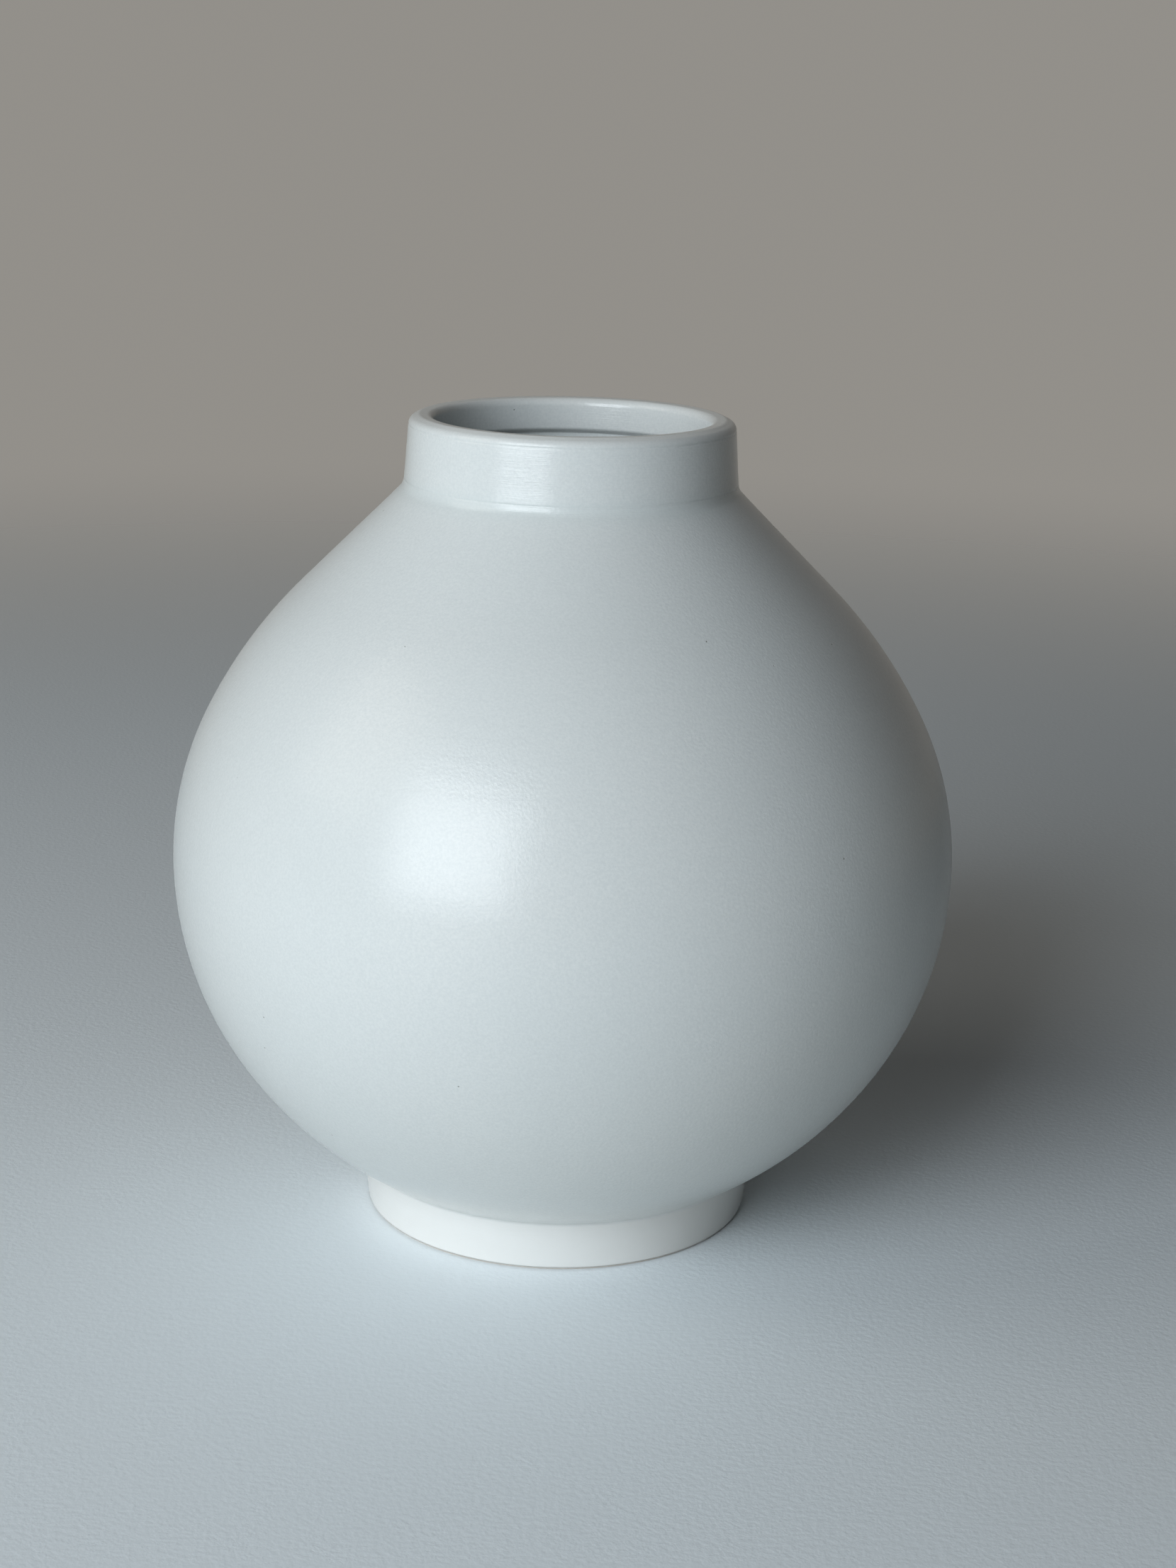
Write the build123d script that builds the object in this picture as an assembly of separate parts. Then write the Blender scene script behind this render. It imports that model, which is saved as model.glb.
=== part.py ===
from build123d import *
import os
from math import cos, radians, sin, sqrt, tan

# Korean moon jar: a round white jar on a low foot ring, with a short upright collar.
# Two thrown bowls meet rim to rim at the belly, and the collar and the foot ring are luted on.
# Everything is turned about Z. Sections are drawn with radius first and height second.
# Millimetres and degrees. The origin is the middle of the underside, and Z is up.

# Outside of the body: where it starts at the foot, is widest, and runs straight up to the collar
base_radius = 48.8
base_angle = 30.1
belly_radius = 95.0
belly_height = 90.4
shoulder_radius = 64.4
shoulder_height = 156.3
shoulder_angle = 44.8

# Thickness of the clay, and the flat middle of the floor inside
belly_wall = 6.0
shoulder_wall = 5.6
floor_thickness = 7.5
floor_radius = 26.0

# Foot ring
foot_height = 12.7
foot_rim_radius = 47.4
foot_rim_width = 5.6
foot_top_width = 7.2
foot_bevel = 0.3

# Collar, drawn in a little as it rises
collar_radius = 39.6
collar_wall = 4.8
collar_height = 15.7
collar_draw_in = 1.1

# Lip: thicker than the wall under it, bevelled outside, nearly level on top, undercut inside
lip_width = 5.5
lip_depth = 7.5
lip_fall = 0.2
lip_undercut_height = 1.0
bevel_width = 2.2
bevel_height = 1.0
bevel_edge_rounding = 1.8
crest_rounding = 1.5
mouth_edge_rounding = 1.6
undercut_rounding = 0.7

# Joints: the film of slip, the ridge and groove of the belly joint, and the wiped corners
slip_thickness = 0.8
key_width = 3.0
key_depth = 2.4
foot_fillet = 1.6
collar_fillet = 4.0

# Soft coil pressed over the belly joint inside
coil_width = 13.0
coil_rise = 2.6

# Regions that cut a section run past it by this much
overrun = 5.0

# Places that follow from the sizes above
seat_height = shoulder_height + (shoulder_radius - collar_radius) * tan(radians(shoulder_angle))
bevel_foot_height = seat_height + collar_height
jar_height = bevel_foot_height + bevel_height
floor_height = foot_height + floor_thickness
opening_radius = collar_radius - collar_wall
cavity_radius = belly_radius - belly_wall
key_radius = belly_radius - belly_wall / 2
reach = belly_radius + overrun

base_point = Vector(base_radius, foot_height)
belly_point = Vector(belly_radius, belly_height)
shoulder_point = Vector(shoulder_radius, shoulder_height)
seat_point = Vector(collar_radius, seat_height)


def direction(angle):
    """Unit step at an angle above the horizontal, away from the axis."""
    return Vector(cos(radians(angle)), sin(radians(angle)))


def outline(points):
    """Closed section with straight sides."""
    return make_face(Polyline(*points, close=True))


def fair_curve(start, start_angle, end, end_angle):
    """Two tangent arcs that leave start and reach end at the given slopes, with no corner."""
    leaving, arriving = direction(start_angle), direction(end_angle)
    span = end - start
    a = 2 * (1 - leaving.dot(arriving))
    b = 2 * span.dot(leaving + arriving)
    tangent_length = (sqrt(b * b + 4 * a * span.dot(span)) - b) / (2 * a)
    meeting = (start + end + (leaving - arriving) * tangent_length) / 2
    lower = TangentArc(start, meeting, tangent=leaving)
    upper = TangentArc(meeting, end, tangent=lower % 1)
    return [lower, upper]


def softened(section, corners, radius):
    """The section with the corners that lie nearest to the given points rounded."""
    for corner in corners:
        section = fillet(section.vertices().sort_by_distance(corner)[0], radius)
    return section


def wall_section():
    """Both bowls as one wall, from the middle of the floor to the seat of the collar."""
    rising = 180 - shoulder_angle
    cavity_point = Vector(cavity_radius, belly_height)
    inner_shoulder = shoulder_point - direction(rising - 90) * shoulder_wall
    inner_rise = (inner_shoulder.X - opening_radius) * tan(radians(shoulder_angle))
    opening_point = Vector(opening_radius, inner_shoulder.Y + inner_rise)
    floor_edge = Vector(floor_radius, floor_height)
    outside = [
        Line((0, foot_height), base_point),
        *fair_curve(base_point, base_angle, belly_point, 90),
        *fair_curve(belly_point, 90, shoulder_point, rising),
        Line(shoulder_point, seat_point),
    ]
    edge = [
        Line(seat_point, (opening_radius, seat_height)),
        Line((opening_radius, seat_height), opening_point),
    ]
    inside = [
        Line(opening_point, inner_shoulder),
        *fair_curve(cavity_point, 90, inner_shoulder, rising),
        *fair_curve(floor_edge, 0, cavity_point, 90),
        Line(floor_edge, (0, floor_height)),
        Line((0, floor_height), (0, foot_height)),
    ]
    return make_face(outside + edge + inside)


def foot_section():
    """Foot ring with the film of slip above it, up to the turned base of the body."""
    inner_top = base_radius - foot_top_width
    inner_rim = foot_rim_radius - foot_rim_width
    corners = [(inner_rim, 0), (foot_rim_radius, 0)]
    ring = outline([*corners, base_point, (inner_top, foot_height)])
    for corner in corners:
        ring = chamfer(ring.vertices().sort_by_distance(corner)[0], foot_bevel)
    return ring


def collar_section():
    """Collar with the film of slip below it, down to the seat cut across the shoulder."""
    bevel_foot = Vector(collar_radius - collar_draw_in, bevel_foot_height)
    crest = bevel_foot + Vector(-bevel_width, bevel_height)
    mouth_edge = Vector(bevel_foot.X - lip_width, jar_height - lip_fall)
    lip_foot = Vector(mouth_edge.X, jar_height - lip_depth)
    throat_top = Vector(opening_radius, lip_foot.Y - lip_undercut_height)
    lip = [bevel_foot, crest, mouth_edge, lip_foot, throat_top]
    collar = outline([(opening_radius, seat_height), seat_point, *lip])
    collar = softened(collar, [bevel_foot], bevel_edge_rounding)
    collar = softened(collar, [crest], crest_rounding)
    collar = softened(collar, [mouth_edge], mouth_edge_rounding)
    return softened(collar, [lip_foot, throat_top], undercut_rounding)


def above(height):
    """Everything above a level."""
    top = jar_height + overrun
    return outline([(0, height), (reach, height), (reach, top), (0, top)])


def above_key(height):
    """Everything above the belly joint, with the ridge that hangs into the lower rim."""
    top = jar_height + overrun
    ridge = [
        (key_radius - key_width / 2, height),
        (key_radius, height - key_depth),
        (key_radius + key_width / 2, height),
    ]
    return outline([(0, height), *ridge, (reach, height), (reach, top), (0, top)])


def coil_section(wall):
    """Coil of clay flattened against the wall over the belly joint."""
    low = Vector(cavity_radius, belly_height - coil_width / 2)
    high = low + Vector(0, coil_width)
    crown = Vector(cavity_radius - coil_rise, belly_height)
    back = Vector(belly_wall / 2, 0)
    face = make_face([ThreePointArc(low, crown, high), Polyline(high, high + back, low + back, low)])
    return face - wall


def sections():
    """Named section of every piece, each cut from what it is joined to."""
    wall = wall_section()
    foot = foot_section()
    collar = collar_section()

    lower_bowl = wall - above_key(belly_height - slip_thickness / 2)
    upper_bowl = wall & above_key(belly_height + slip_thickness / 2)
    foot_ring = foot - above(foot_height - slip_thickness)
    neck_collar = collar & above(seat_height + slip_thickness)

    standing = softened(wall + foot, [base_point], foot_fillet)
    topped = softened(wall + collar, [seat_point], collar_fillet)
    return {
        "lower_bowl": lower_bowl,
        "upper_bowl": upper_bowl,
        "belly_slip": wall - lower_bowl - upper_bowl,
        "belly_seam_coil": coil_section(wall),
        "foot_ring": foot_ring,
        "foot_slip": standing - wall - foot_ring,
        "neck_collar": neck_collar,
        "neck_slip": topped - wall - neck_collar,
    }


os.makedirs("parts", exist_ok=True)
for name, section in sections().items():
    export_step(revolve(Plane.XZ * section, Axis.Z), f"parts/{name}.step")
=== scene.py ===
import math

import bpy
import numpy as np
from mathutils import Matrix, Vector


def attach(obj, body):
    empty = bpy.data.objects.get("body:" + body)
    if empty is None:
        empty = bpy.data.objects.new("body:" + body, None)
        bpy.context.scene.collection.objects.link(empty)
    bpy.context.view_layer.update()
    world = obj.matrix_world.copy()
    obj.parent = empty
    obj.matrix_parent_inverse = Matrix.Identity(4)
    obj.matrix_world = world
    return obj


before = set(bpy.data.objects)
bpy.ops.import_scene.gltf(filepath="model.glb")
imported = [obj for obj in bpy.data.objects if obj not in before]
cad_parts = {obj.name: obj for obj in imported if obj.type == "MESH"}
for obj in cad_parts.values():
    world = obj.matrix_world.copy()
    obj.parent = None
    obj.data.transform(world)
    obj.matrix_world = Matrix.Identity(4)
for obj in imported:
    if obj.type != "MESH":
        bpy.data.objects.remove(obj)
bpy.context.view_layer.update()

# White moon jar in satin glaze. The turned pieces stay as they come with the frame.
# A fired coat of glaze lies over them, thin on the lip and thick in the corners, where its darker colour
# also paints the corners' shade.
# Metres and degrees. A path gives the radius first and the height second.

# Turned outside and inside of the clay, which the glaze follows
base_radius = 0.0488
base_angle = 30.1
belly_radius = 0.095
belly_height = 0.0904
shoulder_radius = 0.0644
shoulder_height = 0.1563
shoulder_angle = 44.8
belly_wall = 0.006
shoulder_wall = 0.0056
floor_thickness = 0.0075
floor_radius = 0.026
foot_height = 0.0127
foot_rim_radius = 0.0474
foot_rim_width = 0.0056
foot_top_width = 0.0072
foot_fillet = 0.0016
collar_radius = 0.0396
collar_wall = 0.0048
collar_height = 0.0157
collar_draw_in = 0.0011
collar_fillet = 0.004
lip_width = 0.0055
lip_depth = 0.0075
lip_fall = 0.0002
lip_undercut_height = 0.001
bevel_width = 0.0022
bevel_height = 0.001
bevel_edge_rounding = 0.0018
crest_rounding = 0.0015
mouth_edge_rounding = 0.0016
undercut_rounding = 0.0007
coil_width = 0.013
coil_rise = 0.0026

# Glaze: how thick it lies, how far its back stays off the clay, and where it was wiped away
glaze_thickness = 0.00024
inner_glaze_thickness = 0.00042
glaze_back = 0.00008
glaze_edge_width = 0.0009
bare_height = 0.0005
bare_inner_height = 0.0009
bore_rounding = 0.0004
coil_softening = 0.0005

# Glaze that gathers in the corners and drew off the lip: how wide, and what share of the thickness. The
# corner widths also set where the colour paints the corners' shade.
foot_pool_and_shade_width = 0.0022
collar_pool_and_shade_width = 0.003
pool_share = 0.45
lip_thin_width = 0.0016
lip_thin_share = 0.25

# Glossier places: from just under the collar upwards, and from just above the foot ring downwards
collar_gloss_drop = 0.001
collar_gloss_fade = 0.001
foot_gloss_rise = 0.009
foot_gloss_fade = 0.0015
foot_gloss_share = 0.75

# Marks of the wheel: finger ridges inside, a swirl on the floor, and faint turning lines outside
ridge_pitch = 0.0068
ridge_depth = 0.00011
swirl_pitch = 0.0062
swirl_depth = 0.00022
swirl_eye_radius = 0.005
swirl_edge_radius = floor_radius * 1.3
swirl_edge_fade = 0.004
turning_pitch = 0.0042
turning_depth = 0.000006
under_turning_depth = 0.00005
valley_pooling = 0.4
ridge_thinning = 0.2
under_pooling = 0.2

# Slow unevenness of the wall: its height, how long its waves are, and how many go round or up
unevenness = 0.00004
inner_unevenness = unevenness * 0.6
under_unevenness = unevenness * 0.5
outer_wave_length = 0.05
inner_wave_length = 0.04
under_wave_length = 0.03
round_waves = 5
rising_waves = 4
rising_wave_share = 0.4

# Two fine lines cut round the collar, which wander up and down a little on their way round
line_depth = 0.00013
line_width = 0.0002
upper_line_drop = 0.0013
lower_line_rise = 0.0016
line_wander = 0.00012
line_wander_turn = 2

# Spacing of the points along a path, points to a circle, and front rings to each ring at the back
coarse_step = 0.0011
fine_step = 0.0003
line_step = 0.00014
round_steps = 288
back_skip = 4

# A rounded corner has about this many steps, none shorter than its radius divided by the second number
corner_steps = 12
shortest_corner_step = 20

# Points are dropped a little past where a corner starts, and the coil's arc stops short of its end
trim_margin = 1.02
coil_reach = 0.98

# Glaze colours
glaze_white = (0.795, 0.825, 0.82, 1)
glaze_cloud = (0.77, 0.81, 0.81, 1)
glaze_grain = (0.7, 0.74, 0.745, 1)
# Darker, cooler glaze where it gathers; in the collar and foot corners this is also painted shade
pooled_and_shaded_tone = (0.66, 0.73, 0.73, 1)
thin_tone = (0.8, 0.8, 0.775, 1)
# Lighter, warmer glaze on the foot ring: painted light that stands for reflected window light and warm
# bounce from the table
foot_painted_light_tone = (0.865, 0.87, 0.855, 1)
pinhole_tone = (0.2, 0.19, 0.17, 1)

# How far each tone shows at most
grain_share = 0.6
# The darker tone where glaze gathers, partly painted shade in the corners, shows at most this share
pooled_and_shaded_share = 0.35
thin_share = 0.4
pinhole_darkness = 0.65
blush_share = 0.8
grit_share = 0.5

# Ranges of a noise that are spread over a whole change of tone or gloss
noise_range = (0.3, 0.7)
grain_range = (0.35, 0.65)
clay_noise_range = (0.35, 0.7)

# Glaze grain: the size of each kind across, and the height of its relief
cloud_size = 0.045
grain_size = 0.0006
gloss_size = 0.0035
peel_size = 0.005
peel_height = 0.00002
stipple_size = 0.0007
stipple_height = 0.00004
wheel_line_size = 0.0002
wheel_line_height = 0.000032
wheel_line_squeeze = (0.03, 0.03, 1.0)
pinhole_spacing = 0.0075
pinhole_radius = 0.00028
pinhole_depth = 0.0001
pinhole_core = 0.4
pinhole_share = 0.3

# Glaze gloss: the range of its roughness, what the glossier places take off, and the calmer foot
glaze_ior = 1.5
glaze_roughness = (0.262, 0.272)
gloss_gain = 0.07
calm_rise = (0.004, 0.014)
calm_relief = 0.03
# Painted light: the foot ring below this band is made lighter and warmer, for reflected window light and
# warm bounce from the table
foot_painted_light_fade = 0.001

# Fired clay and slip: each with the tone of its blush, and the grit, rings and roughness of both
clay_tones = ((0.68, 0.655, 0.62, 1), (0.68, 0.62, 0.555, 1))
slip_tones = ((0.82, 0.79, 0.74, 1), (0.8, 0.74, 0.68, 1))
grit_tone = (0.55, 0.48, 0.42, 1)
clay_ior = 1.45
blush_size = 0.02
grit_size = 0.0006
clay_roughness_size = 0.002
clay_roughness = (0.72, 0.88)
clay_ring_pitch = 0.0009
clay_ring_height = 0.00004
sand_size = 0.0005
sand_height = 0.00009

# Table top: its paint for the light it gives back and for where it is seen, and how it fades out
table_radius = 1.6
table_corners = 96
table_fade = (0.45, 1.25)
table_paint = (0.8, 0.83, 0.83, 1)
table_seen_paint = (0.895, 0.958, 1.0, 1)
table_roughness = 0.6
table_ior = 1.5
table_grain_size = 0.0016
table_grain_height = 0.00012

# World: the weak fill, and the backdrop that is seen
fill_colour = (0.95, 0.97, 1.0, 1)
fill_strength = 0.006
backdrop_colour = (0.29, 0.277, 0.255, 1)

# Softboxes: azimuth, elevation, distance, size, power and colour
lamps = {
    "window": (-32.0, 21.2, 1.5, (0.92, 1.02), 18.0, (0.885, 0.952, 1.0)),
    "left": (-75, 35, 1.5, (0.8, 0.8), 2.8, (1.0, 0.95, 0.86)),
    "right": (35, 15, 1.6, (0.9, 0.7), 0.1, (1.0, 0.95, 0.85)),
    "back": (180, 50, 1.6, (1.2, 0.8), 0.7, (1.0, 0.97, 0.92)),
}

# Camera
camera_place = (0.0, -0.6339, 0.2825)
camera_yaw = 0.517
camera_pitch = 15.433
camera_roll = 1.394
camera_lens = 61.505
camera_sensor = 36.0

random = np.random.default_rng(11)

# Places that follow from the sizes above
seat_height = shoulder_height + (shoulder_radius - collar_radius) * math.tan(math.radians(shoulder_angle))
bevel_foot_height = seat_height + collar_height
jar_height = bevel_foot_height + bevel_height
floor_height = foot_height + floor_thickness
opening_radius = collar_radius - collar_wall
cavity_radius = belly_radius - belly_wall
round_angles = np.linspace(0, math.tau, round_steps, endpoint=False)


def direction(angle):
    """Unit step at an angle above the horizontal, away from the axis."""
    return np.array([math.cos(math.radians(angle)), math.sin(math.radians(angle))])


def cross(a, b):
    """Signed area between two steps."""
    return a[0] * b[1] - a[1] * b[0]


def run(start, end, step=coarse_step):
    """Evenly spaced points on a straight line, both ends included."""
    start, end = np.array(start, float), np.array(end, float)
    count = max(2, int(np.linalg.norm(end - start) / step) + 2)
    return start + (end - start) * np.linspace(0, 1, count)[:, None]


def arc(start, leaving, end, step=coarse_step):
    """Points on the arc that leaves start along a step and reaches end, and its direction there."""
    chord = end - start
    half_turn = math.atan2(cross(leaving, chord), leaving @ chord)
    radius = np.linalg.norm(chord) / (2 * math.sin(half_turn))
    side = np.array([-leaving[1], leaving[0]])
    centre = start + side * radius
    turned = 2 * half_turn
    count = max(3, int(abs(turned * radius) / step) + 2)
    turns = np.linspace(0, turned, count)
    points = centre + radius * (leaving * np.sin(turns)[:, None] - side * np.cos(turns)[:, None])
    arriving = leaving * math.cos(turned) + side * math.sin(turned)
    return points, arriving


def fair_curve(start, start_angle, end, end_angle):
    """Two tangent arcs that leave start and reach end at the given slopes, with no corner."""
    leaving, arriving = direction(start_angle), direction(end_angle)
    span = end - start
    a = 2 * (1 - leaving @ arriving)
    b = 2 * span @ (leaving + arriving)
    tangent_length = (math.sqrt(b * b + 4 * a * span @ span) - b) / (2 * a)
    meeting = (start + end + (leaving - arriving) * tangent_length) / 2
    lower, heading = arc(start, leaving, meeting)
    upper, _ = arc(meeting, heading, end)
    return np.concatenate([lower, upper[1:]])


def rounded(corner, before, after, radius):
    """Points on the arc that rounds the corner between two neighbouring points, and its setback."""
    arriving = (corner - before) / np.linalg.norm(corner - before)
    leaving = (after - corner) / np.linalg.norm(after - corner)
    turn = math.atan2(cross(arriving, leaving), arriving @ leaving)
    setback = radius * math.tan(abs(turn) / 2)
    step = max(radius * abs(turn) / corner_steps, radius / shortest_corner_step)
    points, _ = arc(corner - arriving * setback, arriving, corner + leaving * setback, step)
    return points, setback


def trimmed(points, length, at_start):
    """The points without those that lie within a length of one end."""
    end = points[0] if at_start else points[-1]
    return points[np.linalg.norm(points - end, axis=1) > length * trim_margin]


def joined(stretches):
    """One path from stretches of points, with a rounding radius between each two."""
    path = stretches[0]
    for radius, stretch in zip(stretches[1::2], stretches[2::2]):
        if radius:
            corner, setback = rounded(path[-1], path[-2], stretch[1], radius)
            kept = trimmed(path, setback, False)
            path = np.concatenate([kept, corner, trimmed(stretch, setback, True)])
        else:
            path = np.concatenate([path, stretch[1:]])
    return path


def inner_shoulder():
    """Where the inside of the wall turns into the straight shoulder."""
    outside = np.array([shoulder_radius, shoulder_height])
    return outside - direction(90 - shoulder_angle) * shoulder_wall


def bore_bottom():
    """Height of the edge between the opening and the inside of the shoulder."""
    shoulder = inner_shoulder()
    return shoulder[1] + (shoulder[0] - opening_radius) * math.tan(math.radians(shoulder_angle))


def body_path():
    """From the turned base, round the belly and up the straight shoulder to the collar."""
    base = np.array([base_radius, foot_height])
    belly = np.array([belly_radius, belly_height])
    shoulder = np.array([shoulder_radius, shoulder_height])
    seat = np.array([collar_radius, seat_height])
    lower = fair_curve(base, base_angle, belly, 90)
    upper = fair_curve(belly, 90, shoulder, 180 - shoulder_angle)
    return np.concatenate([lower, upper[1:], run(shoulder, seat)[1:]])


def outer_path():
    """From the wiped line on the foot, up the body and the collar, and over the lip into the throat."""
    body = body_path()
    foot_slope = (base_radius - foot_rim_radius) / foot_height
    foot_line = np.array([foot_rim_radius + bare_height * foot_slope, bare_height])
    bevel_foot = np.array([collar_radius - collar_draw_in, bevel_foot_height])
    crest = bevel_foot + [-bevel_width, bevel_height]
    mouth_edge = np.array([bevel_foot[0] - lip_width, jar_height - lip_fall])
    lip_foot = np.array([mouth_edge[0], jar_height - lip_depth])
    throat_top = np.array([opening_radius, lip_foot[1] - lip_undercut_height])
    throat_foot = np.array([opening_radius, seat_height])
    return joined([
        run(foot_line, body[0], fine_step), foot_fillet, body, collar_fillet,
        run(body[-1], bevel_foot, line_step), bevel_edge_rounding,
        run(bevel_foot, crest, fine_step), crest_rounding,
        run(crest, mouth_edge, fine_step), mouth_edge_rounding,
        run(mouth_edge, lip_foot, fine_step), undercut_rounding,
        run(lip_foot, throat_top, fine_step), undercut_rounding,
        run(throat_top, throat_foot),
    ])


def over_coil(wall):
    """The inside of the wall, raised over the flattened coil behind the belly joint."""
    radius = (coil_width ** 2 / 4 + coil_rise ** 2) / (2 * coil_rise)
    across = np.clip(np.abs(wall[:, 1] - belly_height), 0, radius * coil_reach)
    coil = cavity_radius - coil_rise + radius - np.sqrt(radius ** 2 - across ** 2)
    soft = -coil_softening * np.logaddexp(-wall[:, 0] / coil_softening, -coil / coil_softening)
    near = np.abs(wall[:, 1] - belly_height) < coil_width
    return np.stack([np.where(near, soft, wall[:, 0]), wall[:, 1]], axis=1)


def inner_path():
    """From the top of the bore, round the cavity and over the seam coil, to the middle of the floor."""
    shoulder = inner_shoulder()
    edge = np.array([opening_radius, bore_bottom()])
    cavity = np.array([cavity_radius, belly_height])
    floor_edge = np.array([floor_radius, floor_height])
    upper = fair_curve(cavity, 90, shoulder, 180 - shoulder_angle)[::-1]
    lower = fair_curve(floor_edge, 0, cavity, 90)[::-1]
    wall = np.concatenate([run(edge, shoulder), upper[1:], lower[1:]])
    return joined([
        run((opening_radius, seat_height), edge, fine_step), bore_rounding, over_coil(wall), 0,
        run(floor_edge, (0, floor_height)),
    ])


def under_path():
    """From the middle of the recess under the base, out to the foot ring and down its inside."""
    corner = np.array([base_radius - foot_top_width, foot_height])
    rim = np.array([foot_rim_radius - foot_rim_width, bare_inner_height])
    return joined([run((0, foot_height), corner), foot_fillet, run(corner, rim, fine_step)])


def lengths_along(path):
    """Distance of each point from the start of the path."""
    return np.concatenate([[0], np.cumsum(np.linalg.norm(np.diff(path, axis=0), axis=1))])


def normals_of(path):
    """Unit steps out of the clay, square to the path."""
    tangent = np.gradient(path, lengths_along(path), axis=0)
    tangent /= np.linalg.norm(tangent, axis=1)[:, None]
    return np.stack([tangent[:, 1], -tangent[:, 0]], axis=1)


def rounded_edge(distance):
    """Share of the full thickness at a distance from the wiped edge, rising like a bead."""
    inward = np.clip(distance / glaze_edge_width, 0, 1)
    return np.sqrt(1 - (1 - inward) ** 2)


def waves(along, length, depth):
    """Slow unevenness of a hand-turned wall, as a few waves that go round and drift upwards."""
    total = np.zeros((len(along), round_steps))
    for lobes in range(1, round_waves + 1):
        phase, drift = random.uniform(0, math.tau), random.uniform(-1, 1)
        total += np.cos(lobes * round_angles + phase + drift * along / length) / lobes
    for _ in range(rising_waves):
        phase, pace = random.uniform(0, math.tau), random.uniform(0.5, 1.5)
        total += rising_wave_share * np.cos(pace * along / length * 2 + phase)
    return total * depth / 2


def bell(distance, width):
    """One in the middle of a place, fading to nothing at about its width."""
    return np.exp(-(distance / width) ** 2)


def soft_step(distance, fade):
    """Nought before a place and one after it, with a soft change between."""
    return 1 / (1 + np.exp(-distance / fade))


def all_round(values):
    """One value for each point along a path, repeated for all the points of its ring."""
    return values + np.zeros(round_steps)


def collar_lines(radius, height):
    """The two fine lines round the outside of the collar: one in the middle of a line, else nought."""
    wander = line_wander * np.cos(round_angles + line_wander_turn)
    lines = bell(height - (bevel_foot_height - upper_line_drop + wander), line_width)
    lines = lines + bell(height - (seat_height + lower_line_rise - wander), line_width)
    outside = radius > collar_radius - collar_draw_in - bevel_width
    return lines * outside


def outer_glaze(path, along):
    """Thickness of the outer coat, where it gathers in the corners or is drawn thin, and where it is
    glossier. The corner mark also paints the corners' shade into the colour.
    """
    radius, height = path[:, 0][:, None], path[:, 1][:, None]
    # The corner bells thicken the coat and, through the mark, paint shade into the corners' colour
    pooled_and_shaded = bell(np.hypot(radius - base_radius, height - foot_height), foot_pool_and_shade_width)
    pooled_and_shaded = pooled_and_shaded + bell(np.hypot(radius - collar_radius, height - seat_height), collar_pool_and_shade_width)
    lip = bell(height - jar_height, lip_thin_width)
    thickness = glaze_thickness * (1 + pool_share * pooled_and_shaded - lip_thin_share * lip)
    thickness = thickness + waves(along, outer_wave_length, unevenness)
    thickness = thickness + turning_depth * np.cos(math.tau * along / turning_pitch + round_angles)
    thickness = thickness - line_depth * collar_lines(radius, height)
    glossy = soft_step(height - (seat_height - collar_gloss_drop), collar_gloss_fade)
    glossy = glossy + foot_gloss_share * soft_step(foot_height + foot_gloss_rise - height, foot_gloss_fade)
    return thickness, all_round(pooled_and_shaded - lip), all_round(glossy)


def inner_glaze(path, along):
    """Thickness of the inner coat, with the ridges and the swirl that the fingers left."""
    radius = path[:, 0][:, None]
    on_floor = soft_step(swirl_edge_radius - radius, swirl_edge_fade)
    off_centre = 1 - bell(radius, swirl_eye_radius)
    ridges = np.cos(math.tau * along / ridge_pitch - round_angles)
    swirl = np.cos(math.tau * radius / swirl_pitch - round_angles)
    thickness = inner_glaze_thickness + ridge_depth * ridges * (1 - on_floor)
    thickness = thickness + swirl_depth * swirl * on_floor * off_centre
    thickness = thickness + waves(along, inner_wave_length, inner_unevenness)
    pooled_and_shaded = np.clip(-ridges, 0, 1) * valley_pooling - ridge_thinning
    return thickness, pooled_and_shaded, np.zeros_like(thickness)


def under_glaze(path, along):
    """Thickness of the coat in the recess under the base, with the rings of the turning tool."""
    rings = np.cos(math.tau * along / turning_pitch)
    thickness = glaze_thickness + under_turning_depth * rings
    thickness = thickness + waves(along, under_wave_length, under_unevenness)
    return thickness, all_round(rings * under_pooling), np.zeros_like(thickness)


class Rings:
    """Rings of points round the axis, with the marks that the material reads at each point."""

    def __init__(self, path, normal, marks, poles):
        self.path, self.normal, self.marks, self.poles = path, normal, marks, poles
        self.points = []
        self.shades = []
        self.count = 0

    def add(self, rows, offset):
        """Adds rings at an offset from the path, or one point where it is on the axis."""
        return [self.add_one(row, offset[row]) for row in rows]

    def add_one(self, row, offset):
        """Adds one ring, and gives the numbers of its points."""
        radius = self.path[row, 0] + self.normal[row, 0] * offset
        height = self.path[row, 1] + self.normal[row, 1] * offset
        if row in self.poles:
            self.points.append(np.array([[0, 0, height.mean()]]))
            self.shades.append([[mark[row].mean()] for mark in self.marks])
        else:
            ring = [radius * np.cos(round_angles), radius * np.sin(round_angles), height]
            self.points.append(np.stack(ring, axis=1))
            self.shades.append([mark[row] for mark in self.marks])
        first = self.count
        self.count += len(self.points[-1])
        return range(first, self.count)

    def mesh(self, name, faces):
        """A smooth mesh of the rings, with the marks as attributes of its points."""
        mesh = bpy.data.meshes.new(name)
        mesh.from_pydata(np.concatenate(self.points).tolist(), [], faces)
        for title, values in zip(("pooled_and_shaded", "glossy"), np.concatenate(self.shades, axis=1)):
            mesh.attributes.new(title, "FLOAT", "POINT").data.foreach_set("value", values)
        mesh.shade_smooth()
        return mesh


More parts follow.
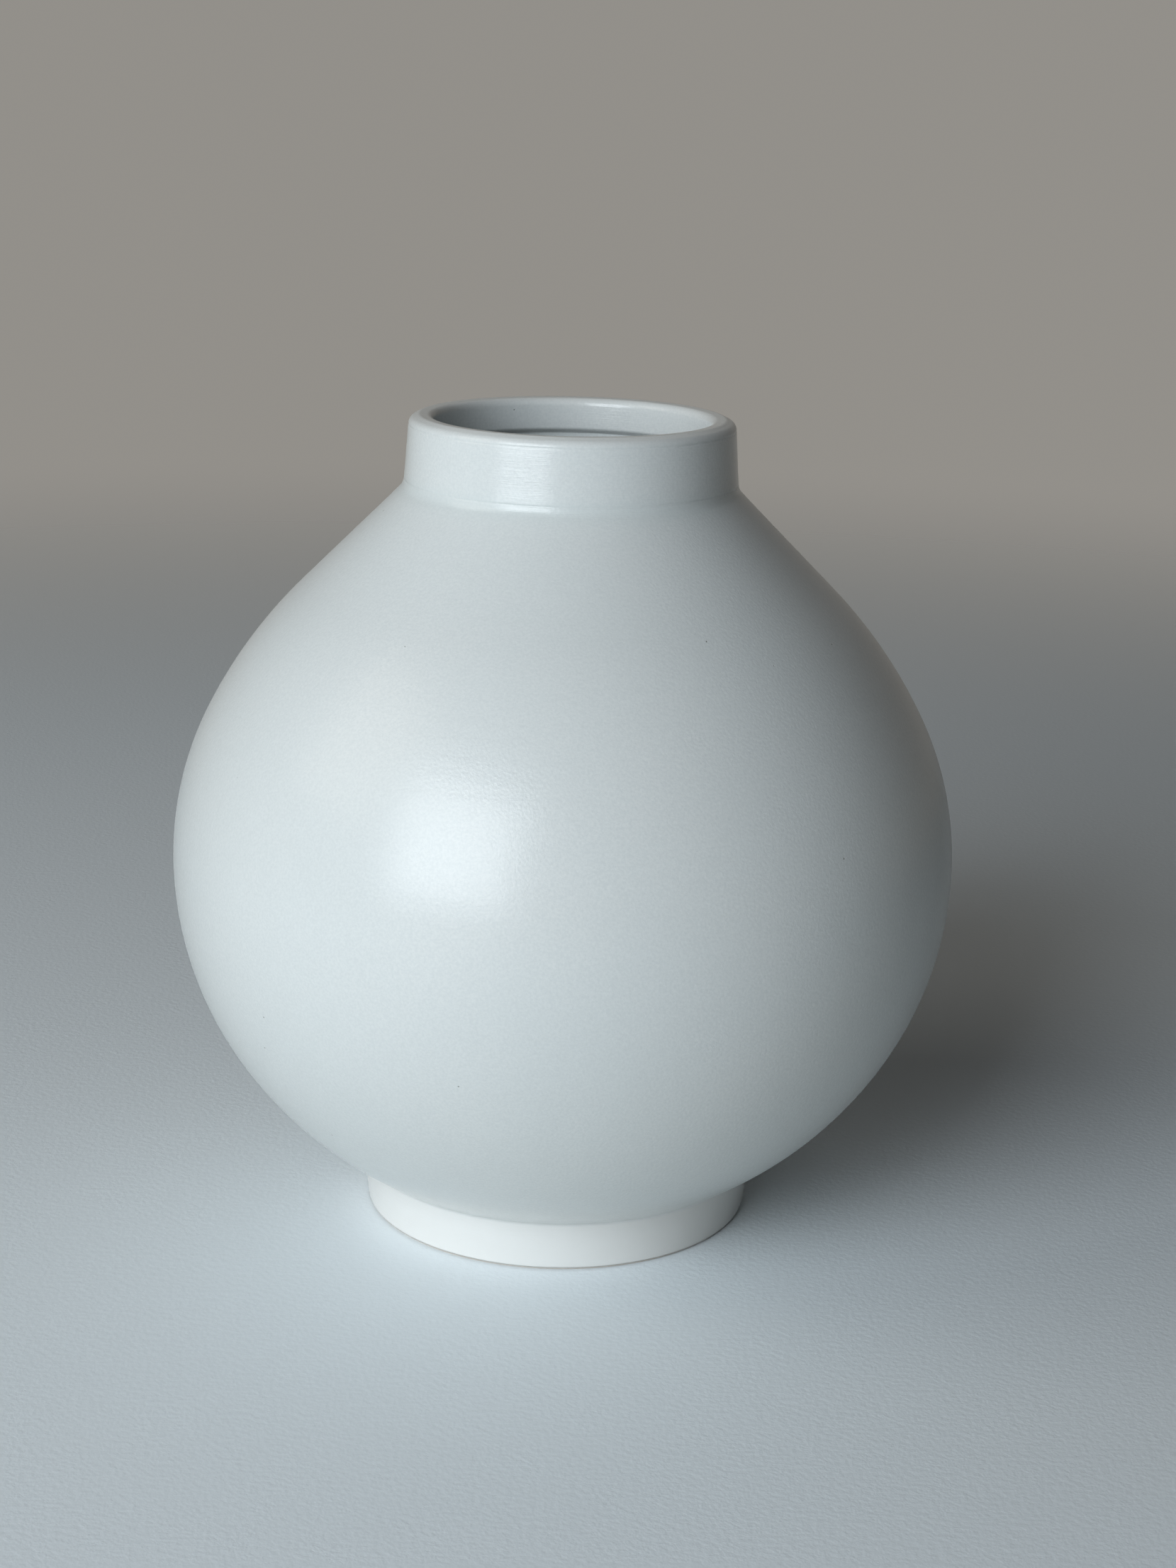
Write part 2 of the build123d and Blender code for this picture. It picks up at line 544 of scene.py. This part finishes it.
def strip(first, second, flip):
    """Faces between two rings of point numbers, either of which may be a single point."""
    faces = []
    for i in range(round_steps):
        j = (i + 1) % round_steps
        if len(first) == 1:
            face = (first[0], second[j], second[i])
        elif len(second) == 1:
            face = (first[i], first[j], second[0])
        else:
            face = (first[i], first[j], second[j], second[i])
        faces.append(face[::-1] if flip else face)
    return faces


def skin(rings, flip):
    """Faces of one side of a coat, from ring to ring."""
    faces = []
    for first, second in zip(rings, rings[1:]):
        faces += strip(first, second, flip)
    return faces


def coat_front(along, thickness, starts_on_axis, ends_on_axis):
    """How far the front stands off the clay, with a bead at each end that isn't on the axis."""
    bead = np.ones(len(along))
    if not starts_on_axis:
        bead *= rounded_edge(along)
    if not ends_on_axis:
        bead *= rounded_edge(along[-1] - along)
    return glaze_back + (thickness - glaze_back) * bead[:, None]


def glaze_coat(name, path, profile, starts_on_axis=False, ends_on_axis=False):
    """Closed thin coat over the clay: a front, a back, and a shared ring where it ends."""
    along, normal = lengths_along(path), normals_of(path)
    last = len(path) - 1
    poles = ({0} if starts_on_axis else set()) | ({last} if ends_on_axis else set())
    for pole in poles:
        normal[pole] = (0, np.sign(normal[pole, 1]))
    thickness, *marks = profile(path, along[:, None])
    rings = Rings(path, normal, marks, poles)
    front = rings.add(range(len(path)), coat_front(along, thickness, starts_on_axis, ends_on_axis))
    back_rows = [i for i in range(len(path)) if i in poles or (0 < i < last and i % back_skip == 0)]
    back = rings.add(back_rows, np.full((len(path), round_steps), glaze_back))
    back = back if starts_on_axis else [front[0], *back]
    back = back if ends_on_axis else [*back, front[-1]]
    coat = bpy.data.objects.new(name, rings.mesh(name, skin(front, False) + skin(back, True)))
    bpy.context.collection.objects.link(coat)
    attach(coat, "root")
    return coat


class Nodes:
    """Short calls that add and link the nodes of one material."""

    def __init__(self, name):
        self.material = bpy.data.materials.new(name)
        self.material.use_nodes = True
        self.tree = self.material.node_tree
        self.tree.nodes.clear()

    def add(self, kind, inputs=None, **settings):
        """A node with its settings, and its inputs given as values or as sockets to link."""
        node = self.tree.nodes.new(kind)
        for key, value in settings.items():
            setattr(node, key, value)
        for key, value in (inputs or {}).items():
            if isinstance(value, bpy.types.NodeSocket):
                self.tree.links.new(value, node.inputs[key])
            else:
                node.inputs[key].default_value = value
        return node

    def place(self):
        """Place on the object, in metres."""
        return self.add("ShaderNodeTexCoord").outputs["Object"]

    def place_parts(self):
        """Place on the object, as its separate X, Y and Z."""
        return self.add("ShaderNodeSeparateXYZ", {"Vector": self.place()}).outputs

    def mark(self, name):
        """A mark that the points of the mesh carry."""
        return self.add("ShaderNodeAttribute", attribute_name=name).outputs["Fac"]

    def noise(self, size, detail=2.0, rough=0.5, place=None):
        """Soft noise whose grains have a real size."""
        inputs = {
            "Vector": place or self.place(), "Scale": 1 / size, "Detail": detail, "Roughness": rough,
        }
        return self.add("ShaderNodeTexNoise", inputs).outputs["Fac"]

    def remap(self, value, low, high, to_low, to_high, smooth=False):
        """A value taken from one range to another, and held at its ends."""
        kind = "SMOOTHSTEP" if smooth else "LINEAR"
        inputs = {"Value": value, 1: low, 2: high, 3: to_low, 4: to_high}
        return self.add("ShaderNodeMapRange", inputs, interpolation_type=kind).outputs["Result"]

    def math(self, operation, a, b=0.0):
        """One sum or product of two values."""
        return self.add("ShaderNodeMath", {0: a, 1: b}, operation=operation).outputs[0]

    def vector_math(self, operation, a, b=(0, 0, 0)):
        """One sum or product of two vectors, as a vector and as a value."""
        return self.add("ShaderNodeVectorMath", {0: a, 1: b}, operation=operation).outputs

    def mix(self, share, a, b):
        """Colour between two colours."""
        return self.add("ShaderNodeMix", {0: share, 6: a, 7: b}, data_type="RGBA").outputs[2]

    def bump(self, height, distance, strength=1.0, below=None):
        """Small relief whose height, from 0 to 1, stands for a distance in metres."""
        inputs = {"Height": height, "Distance": distance, "Strength": strength}
        if below:
            inputs["Normal"] = below
        return self.add("ShaderNodeBump", inputs).outputs["Normal"]

    def principled(self, colour, roughness, ior, normal):
        """The shader of a painted, glazed or bare surface."""
        inputs = {"Base Color": colour, "Roughness": roughness, "IOR": ior, "Normal": normal}
        return self.add("ShaderNodeBsdfPrincipled", inputs).outputs["BSDF"]

    def finish(self, shader):
        """Ends the material with its shader."""
        self.add("ShaderNodeOutputMaterial", {"Surface": shader})
        return self.material


def pinholes(nodes):
    """Dark dots where small bubbles burst in the firing: one inside a dot, else nought."""
    inputs = {"Vector": nodes.place(), "Scale": 1 / pinhole_spacing}
    cells = nodes.add("ShaderNodeTexVoronoi", inputs).outputs
    chosen = nodes.add("ShaderNodeSeparateColor", {"Color": cells["Color"]}).outputs[0]
    rim = pinhole_radius / pinhole_spacing
    near = nodes.remap(cells["Distance"], rim, rim * pinhole_core, 0.0, 1.0, True)
    return nodes.math("MULTIPLY", near, nodes.math("LESS_THAN", chosen, pinhole_share))


def glaze_colour(nodes, height, holes):
    """Cloudy white with a fine grain, warmer on the lip. Darker and cooler where glaze gathers, which in
    the collar and foot corners is also painted shade, and lighter and warmer on the foot ring as painted
    light.
    """
    pooled_and_shaded = nodes.mark("pooled_and_shaded")
    clouds = nodes.remap(nodes.noise(cloud_size, 3.0), *noise_range, 0.0, 1.0)
    grain = nodes.remap(nodes.noise(grain_size, 2.0, 0.6), *grain_range, 0.0, grain_share)
    colour = nodes.mix(clouds, glaze_white, glaze_cloud)
    colour = nodes.mix(grain, colour, glaze_grain)
    # Where glaze gathers it is darker and cooler: glaze pooling, and in the collar and foot corners
    # painted shade
    colour = nodes.mix(nodes.remap(pooled_and_shaded, 0.0, 1.0, 0.0, pooled_and_shaded_share), colour, pooled_and_shaded_tone)
    colour = nodes.mix(nodes.remap(pooled_and_shaded, 0.0, -1.0, 0.0, thin_share), colour, thin_tone)
    # Painted light: the foot ring is made lighter and warmer
    foot_top, foot_side = foot_height + foot_painted_light_fade, foot_height - foot_painted_light_fade
    colour = nodes.mix(nodes.remap(height, foot_top, foot_side, 0.0, 1.0), colour, foot_painted_light_tone)
    return nodes.mix(nodes.math("MULTIPLY", holes, pinhole_darkness), colour, pinhole_tone)


def glaze_relief(nodes, height, glossy, holes):
    """Faint orange peel and stipple, calmer at the foot, with fine wheel lines and the pinholes."""
    calm_from, calm_to = (foot_height + rise for rise in calm_rise)
    calm = nodes.remap(height, calm_from, calm_to, calm_relief, 1.0)
    relief = nodes.bump(nodes.noise(peel_size), peel_height, calm)
    relief = nodes.bump(nodes.noise(stipple_size, 2.0, 0.55), stipple_height, calm, relief)
    drawn_out = nodes.vector_math("MULTIPLY", nodes.place(), wheel_line_squeeze)["Vector"]
    wheel_lines = nodes.noise(wheel_line_size, place=drawn_out)
    relief = nodes.bump(wheel_lines, wheel_line_height, glossy, relief)
    return nodes.bump(nodes.math("SUBTRACT", 1.0, holes), pinhole_depth, below=relief)


def glaze_material():
    """Satin white glaze, glossier on the collar and near the foot."""
    nodes = Nodes("satin_glaze")
    height = nodes.place_parts()["Z"]
    glossy = nodes.mark("glossy")
    holes = pinholes(nodes)
    rough = nodes.remap(nodes.noise(gloss_size), *noise_range, *glaze_roughness)
    rough = nodes.math("SUBTRACT", rough, nodes.math("MULTIPLY", glossy, gloss_gain))
    colour = glaze_colour(nodes, height, holes)
    relief = glaze_relief(nodes, height, glossy, holes)
    return nodes.finish(nodes.principled(colour, rough, glaze_ior, relief))


def clay_material(name, tone, blush_tone):
    """Bare fired clay: matte and sandy, with turning rings and a warm blush in places."""
    nodes = Nodes(name)
    parts = nodes.place_parts()
    level = nodes.add("ShaderNodeCombineXYZ", {"X": parts["X"], "Y": parts["Y"]}).outputs[0]
    radius = nodes.vector_math("LENGTH", level)["Value"]
    rings = nodes.math("SINE", nodes.math("MULTIPLY", radius, math.tau / clay_ring_pitch))
    blush = nodes.remap(nodes.noise(blush_size, 3.0), *clay_noise_range, 0.0, blush_share)
    grit = nodes.remap(nodes.noise(grit_size, 3.0, 0.7), *clay_noise_range, 0.0, grit_share)
    colour = nodes.mix(grit, nodes.mix(blush, tone, blush_tone), grit_tone)
    rough = nodes.remap(nodes.noise(clay_roughness_size), *noise_range, *clay_roughness)
    relief = nodes.bump(rings, clay_ring_height)
    relief = nodes.bump(nodes.noise(sand_size, 3.0, 0.7), sand_height, below=relief)
    return nodes.finish(nodes.principled(colour, rough, clay_ior, relief))


def dress_clay():
    """Fired clay on the turned pieces, and a slightly whiter one on the slip and the coil."""
    body = clay_material("fired_clay", *clay_tones)
    slip = clay_material("fired_slip", *slip_tones)
    for name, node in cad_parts.items():
        material = slip if "slip" in name or "coil" in name else body
        if not node.material_slots:
            node.data.materials.append(material)
        for one_slot in node.material_slots:
            one_slot.link = "OBJECT"
            one_slot.material = material


def looked_at(tree):
    """One where the camera, a gloss or a clear body looks at the surface, else nought."""
    path = tree.nodes.new("ShaderNodeLightPath")
    seen = path.outputs["Is Camera Ray"]
    for ray in ("Is Glossy Ray", "Is Transmission Ray"):
        either = tree.nodes.new("ShaderNodeMath")
        either.operation = "MAXIMUM"
        tree.links.new(seen, either.inputs[0])
        tree.links.new(path.outputs[ray], either.inputs[1])
        seen = either.outputs[0]
    return seen


def table_material():
    """Pale matt paint with a fine grain, which fades into the backdrop further out."""
    nodes = Nodes("floor")
    away = nodes.vector_math("LENGTH", nodes.place())["Value"]
    fade = nodes.remap(away, *table_fade, 0.0, 1.0, True)
    grain = nodes.bump(nodes.noise(table_grain_size, 2.0, 0.6), table_grain_height)
    tone = nodes.mix(looked_at(nodes.tree), table_paint, table_seen_paint)
    paint = nodes.principled(tone, table_roughness, table_ior, grain)
    clear = nodes.add("ShaderNodeBsdfTransparent").outputs[0]
    return nodes.finish(nodes.add("ShaderNodeMixShader", {0: fade, 1: paint, 2: clear}).outputs[0])


def make_floor():
    """Round table top under the jar."""
    turns = [math.tau * i / table_corners for i in range(table_corners)]
    points = [(table_radius * math.cos(turn), table_radius * math.sin(turn), 0) for turn in turns]
    mesh = bpy.data.meshes.new("floor")
    mesh.from_pydata(points, [], [list(range(table_corners))])
    mesh.materials.append(table_material())
    floor = bpy.data.objects.new("floor", mesh)
    bpy.context.collection.objects.link(floor)


def background(tree, colour, strength=1.0):
    """Light of one colour from all round."""
    node = tree.nodes.new("ShaderNodeBackground")
    node.inputs["Color"].default_value = colour
    node.inputs["Strength"].default_value = strength
    return node.outputs[0]


def make_world():
    """Weak fill from all round, and a plain pale backdrop where the camera or a gloss looks at it."""
    world = bpy.data.worlds.new("studio")
    bpy.context.scene.world = world
    world.use_nodes = True
    tree = world.node_tree
    tree.nodes.clear()
    mixed = tree.nodes.new("ShaderNodeMixShader")
    tree.links.new(looked_at(tree), mixed.inputs[0])
    tree.links.new(background(tree, fill_colour, fill_strength), mixed.inputs[1])
    tree.links.new(background(tree, backdrop_colour), mixed.inputs[2])
    output = tree.nodes.new("ShaderNodeOutputWorld")
    tree.links.new(mixed.outputs[0], output.inputs["Surface"])


def make_lamp(name, azimuth, elevation, distance, size, power, colour):
    """Softbox that looks at the jar. Azimuth nought is on the camera's side, and left is negative."""
    lamp = bpy.data.lights.new(name, "AREA")
    lamp.shape = "RECTANGLE"
    lamp.size, lamp.size_y = size
    lamp.energy = power
    lamp.color = colour
    side, tilt = math.radians(azimuth), math.radians(elevation)
    out = Vector((math.sin(side) * math.cos(tilt), -math.cos(side) * math.cos(tilt), math.sin(tilt)))
    lit = bpy.data.objects.new(name, lamp)
    lit.location = Vector((0, 0, belly_height)) + out * distance
    lit.rotation_mode = "QUATERNION"
    lit.rotation_quaternion = out.to_track_quat("Z", "Y")
    bpy.context.collection.objects.link(lit)


def make_camera():
    """Camera at the photograph's place and angle."""
    yaw, pitch, roll = (math.radians(a) for a in (camera_yaw, camera_pitch, camera_roll))
    level = Vector((math.sin(yaw), math.cos(yaw), 0))
    sideways = Vector((math.cos(yaw), -math.sin(yaw), 0))
    upright = Vector((0, 0, 1))
    forward = level * math.cos(pitch) - upright * math.sin(pitch)
    above = level * math.sin(pitch) + upright * math.cos(pitch)
    right = sideways * math.cos(roll) + above * math.sin(roll)
    up = above * math.cos(roll) - sideways * math.sin(roll)
    data = bpy.data.cameras.new("camera")
    data.lens = camera_lens
    data.sensor_width = camera_sensor
    camera = bpy.data.objects.new("camera", data)
    turn = Matrix((right, up, -forward)).transposed().to_4x4()
    camera.matrix_world = Matrix.Translation(camera_place) @ turn
    bpy.context.collection.objects.link(camera)
    bpy.context.scene.camera = camera


make_camera()
make_world()
for lamp_name, lamp_facts in lamps.items():
    make_lamp(lamp_name, *lamp_facts)
make_floor()
dress_clay()
glaze = glaze_material()
coats = [
    glaze_coat("glaze_outside", outer_path(), outer_glaze),
    glaze_coat("glaze_inside", inner_path(), inner_glaze, ends_on_axis=True),
    glaze_coat("glaze_underside", under_path(), under_glaze, starts_on_axis=True),
]
for coat in coats:
    coat.data.materials.append(glaze)

bpy.context.scene.view_settings.view_transform = "Standard"
